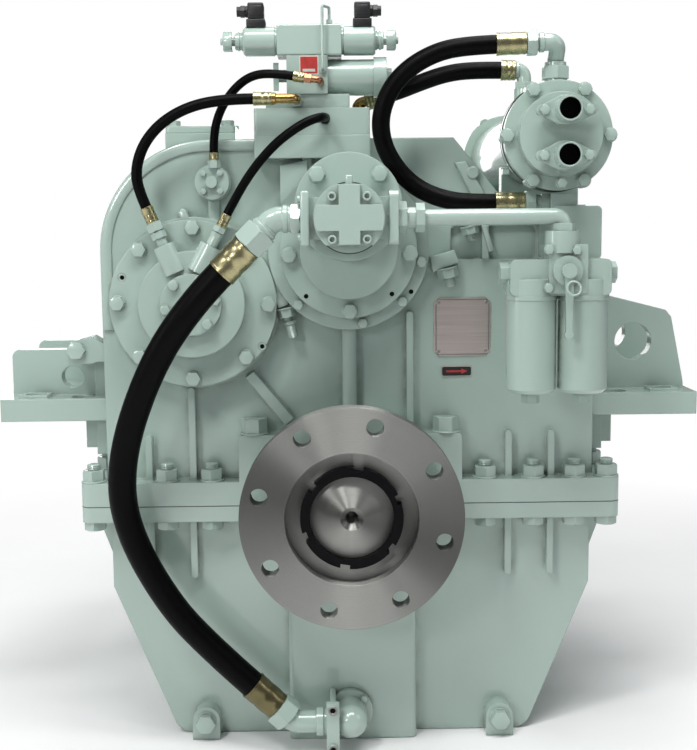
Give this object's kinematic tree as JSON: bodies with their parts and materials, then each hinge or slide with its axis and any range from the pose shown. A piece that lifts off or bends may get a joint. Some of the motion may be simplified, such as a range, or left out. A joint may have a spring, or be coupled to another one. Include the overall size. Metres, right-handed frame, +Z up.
{
  "type": "marine reduction gearbox",
  "caption": "Marine reversing reduction gearbox with a split cast casing, output flange, gear pump, oil cooler, duplex filter, solenoid valve stack, hoses and side mounting brackets.",
  "frame": {"origin": "centre of the output flange's front face, where the propeller shaft bolts on", "axes": "+Z up; +Y back through the gearbox along the output axis, towards the engine; +X to the right seen from the output flange"},
  "size_m": [1.058, 0.818, 1.0993],
  "materials": {
    "casing_paint": "thick glossy pale grey-green enamel over castings",
    "machined_steel": "turned, bare",
    "hardened_steel": "ground, oiled",
    "black_oxide": "black oxide, satin",
    "hose_rubber": "smooth black cover",
    "zinc_fitting": "yellow passivated zinc",
    "brass_fitting": "satin",
    "coil_plastic": "moulded black",
    "knob_metal": "turned",
    "filter_paper": "pleated paper",
    "mesh_steel": "woven wire",
    "tube_copper": "drawn copper tube",
    "plate_metal": "brushed, bare"
  },
  "bodies": {
    "gearbox": {"clutch_cover": "casing_paint", "clutch_hose": "hose_rubber", "cooler_fittings": "brass_fitting", "cooler_front_cap": "casing_paint", "cooler_hose": "hose_rubber", "cooler_rear_cap": "casing_paint", "cooler_saddles": "casing_paint", "cooler_shell": "casing_paint", "cooler_tube_bundle": "tube_copper", "cover_screws": "casing_paint", "delivery_pipe": "casing_paint", "filter_bowls": "casing_paint", "filter_elements": "filter_paper", "filter_head": "casing_paint", "joint_bolts": "casing_paint", "lower_casing": "casing_paint", "lower_valve": "casing_paint", "lube_hose": "hose_rubber", "lube_valve": "casing_paint", "mounting_bracket_left": "casing_paint", "mounting_bracket_right": "casing_paint", "output_bearing_cover": "casing_paint", "pilot_fittings": "brass_fitting", "plates": "plate_metal", "pump_body": "casing_paint", "pump_end_cover": "casing_paint", "pump_flange": "casing_paint", "pump_housing": "casing_paint", "rear_covers": "casing_paint", "return_hose": "hose_rubber", "sensing_hose": "hose_rubber", "shaft_bearings": "hardened_steel", "solenoid_coils": "coil_plastic", "solenoid_valve": "casing_paint", "strainer_housing": "casing_paint", "strainer_screen": "mesh_steel", "suction_fittings": "zinc_fitting", "suction_hose": "hose_rubber", "top_cover": "casing_paint", "upper_casing": "casing_paint", "valve_base": "casing_paint", "valve_subplate": "casing_paint"},
    "output": {"output_shaft": "machined_steel", "output_coupling": "machined_steel", "output_nut": "black_oxide", "output_gear": "hardened_steel"},
    "input": {"input_shaft": "machined_steel", "input_coupling": "machined_steel", "forward_clutch_drum": "hardened_steel"},
    "reverse": {"reverse_shaft": "hardened_steel", "reverse_clutch_drum": "hardened_steel"},
    "forward_pinion_body": {"forward_pinion": "hardened_steel"},
    "reverse_pinion_body": {"reverse_pinion": "hardened_steel"},
    "pump_driver_body": {"pump_driver": "hardened_steel"},
    "pump_idler_body": {"pump_idler": "hardened_steel"},
    "changeover_lever_body": {"changeover_lever": "casing_paint"},
    "selector_lever_body": {"selector_lever": "knob_metal"},
    "override_pin_left_body": {"override_pin_left": "knob_metal"},
    "override_pin_right_body": {"override_pin_right": "knob_metal"}
  },
  "joints": [
    {"name": "output_turn", "type": "hinge", "parent": "gearbox", "child": "output", "pos_m": [0, 0, 0], "axis": [0, 1, 0], "continuous": true},
    {"name": "input_turn", "type": "hinge", "parent": "gearbox", "child": "input", "pos_m": [0, 0.5, 0.378], "axis": [0, 1, 0], "continuous": true},
    {"name": "reverse_turn", "type": "hinge", "parent": "gearbox", "child": "reverse", "pos_m": [-0.22759, 0.3, 0.30181], "axis": [0, 1, 0], "continuous": true},
    {"name": "forward_pinion_turn", "type": "hinge", "parent": "gearbox", "child": "forward_pinion_body", "pos_m": [0, 0.36, 0.378], "axis": [0, 1, 0], "continuous": true},
    {"name": "reverse_pinion_turn", "type": "hinge", "parent": "gearbox", "child": "reverse_pinion_body", "pos_m": [-0.22759, 0.36, 0.30181], "axis": [0, 1, 0], "continuous": true},
    {"name": "pump_driver_turn", "type": "hinge", "parent": "gearbox", "child": "pump_driver_body", "pos_m": [0, 0.02, 0.438], "axis": [0, 1, 0], "continuous": true},
    {"name": "pump_idler_turn", "type": "hinge", "parent": "gearbox", "child": "pump_idler_body", "pos_m": [0, 0, 0.405], "axis": [0, 1, 0], "continuous": true},
    {"name": "changeover_lever_turn", "type": "hinge", "parent": "gearbox", "child": "changeover_lever_body", "pos_m": [0.291, -0.05, 0.349], "axis": [0, 1, 0], "range_deg": [-60, 60]},
    {"name": "selector_lever_turn", "type": "hinge", "parent": "gearbox", "child": "selector_lever_body", "pos_m": [-0.1, 0.132, 0.63], "axis": [1, 0, 0], "range_deg": [-20, 20]},
    {"name": "override_left_push", "type": "slide", "parent": "gearbox", "child": "override_pin_left_body", "axis": [1, 0, 0], "range_m": [0, 0.0035], "stiffness_N_per_m": 1500, "springref_m": -0.002},
    {"name": "override_right_push", "type": "slide", "parent": "gearbox", "child": "override_pin_right_body", "axis": [-1, 0, 0], "range_m": [0, 0.0035], "stiffness_N_per_m": 1500, "springref_m": -0.002}
  ],
  "couplings": [
    {"joint": "forward_pinion_turn", "follows": "output_turn", "ratio": -2.5},
    {"joint": "reverse_pinion_turn", "follows": "output_turn", "ratio": -2.5},
    {"joint": "reverse_turn", "follows": "input_turn", "ratio": -1},
    {"joint": "pump_driver_turn", "follows": "input_turn", "ratio": -1},
    {"joint": "pump_idler_turn", "follows": "input_turn", "ratio": 1}
  ]
}
